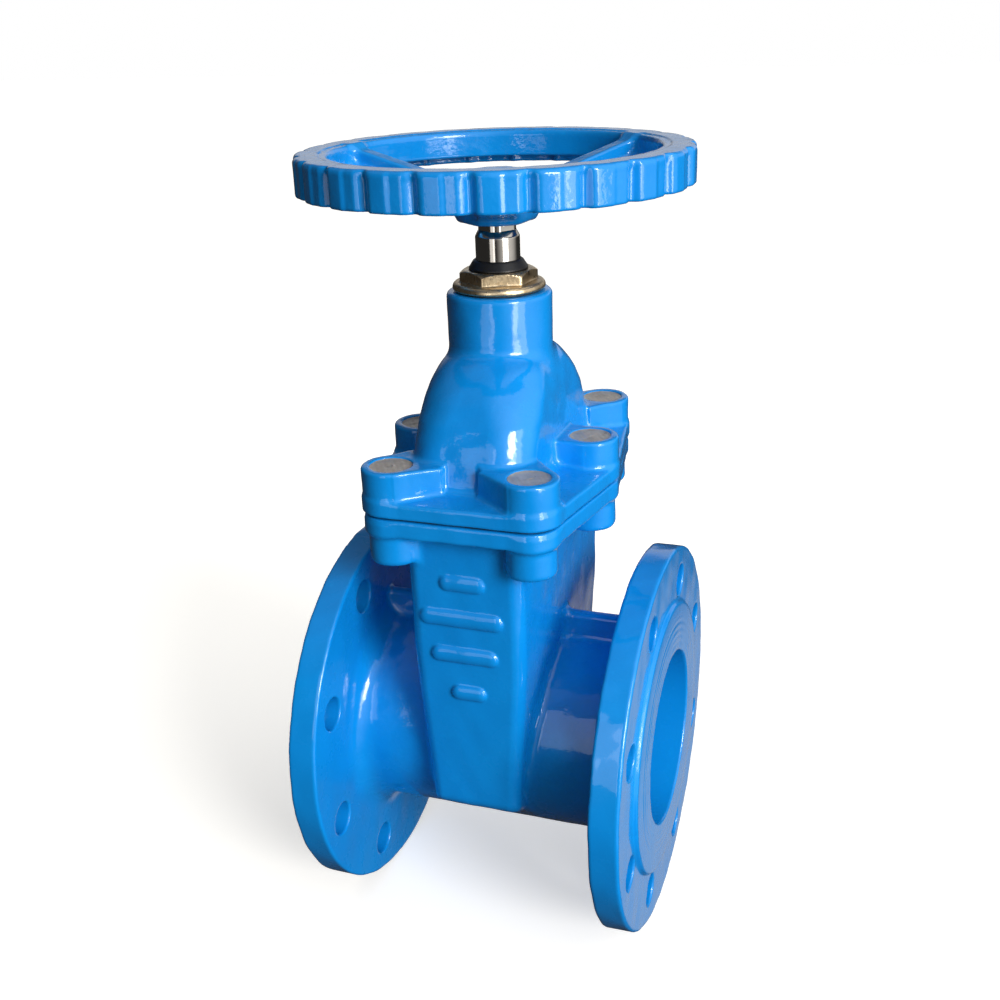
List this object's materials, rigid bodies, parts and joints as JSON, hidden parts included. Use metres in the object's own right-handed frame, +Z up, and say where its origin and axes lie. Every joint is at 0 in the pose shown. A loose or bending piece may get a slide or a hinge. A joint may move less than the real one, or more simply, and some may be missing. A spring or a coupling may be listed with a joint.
{
  "type": "gate valve",
  "caption": "Flanged resilient-seated gate valve with a non-rising stem, bolted bonnet, gland nut and a lobed handwheel that winds the rubber-faced gate down across the waterway.",
  "frame": {"origin": "where the stem axis crosses the axis of the waterway, at the middle of the bore", "axes": "+X along the waterway, +Z up the stem towards the handwheel, Y across the valve"},
  "size_m": [0.2022, 0.22, 0.4388],
  "materials": {
    "blue_epoxy": "gloss fusion-bonded epoxy over ductile iron",
    "black_rubber": "matt moulded rubber",
    "zinc_steel": "zinc plated",
    "grey_wax": "poured grey sealing wax",
    "gland_brass": "turned brass",
    "stainless_steel": "ground and polished stainless steel",
    "white_polymer": "turned acetal",
    "ductile_iron": "as cast"
  },
  "bodies": {
    "housing": {"valve_body": "blue_epoxy", "bonnet": "blue_epoxy", "bonnet_gasket": "black_rubber", "bonnet_screws": "zinc_steel", "screw_wax_plugs": "grey_wax", "gland_nut": "gland_brass", "gland_seal_ring": "black_rubber", "wiper_ring": "black_rubber", "stem_bush": "white_polymer", "inner_o_ring_lower": "black_rubber", "inner_o_ring_upper": "black_rubber", "outer_o_ring": "black_rubber", "thrust_washer_upper": "gland_brass", "thrust_washer_lower": "gland_brass", "back_seal": "black_rubber"},
    "spindle": {"stem": "stainless_steel", "handwheel": "blue_epoxy", "wheel_washer": "zinc_steel", "wheel_screw": "zinc_steel"},
    "gate": {"wedge_core": "ductile_iron", "wedge_rubber": "black_rubber", "wedge_nut": "gland_brass", "guide_shoe_front": "white_polymer", "guide_shoe_back": "white_polymer"}
  },
  "joints": [
    {"name": "stem_turn", "type": "hinge", "parent": "housing", "child": "spindle", "pos_m": [0, 0, 0.2285], "axis": [0, 0, 1], "range_deg": [-7560, 0]},
    {"name": "gate_travel", "type": "slide", "parent": "housing", "child": "gate", "axis": [0, 0, 1], "range_m": [-0.1051, 0]}
  ],
  "couplings": [
    {"joint": "gate_travel", "follows": "stem_turn", "m_per_rad": 0.00079577}
  ]
}
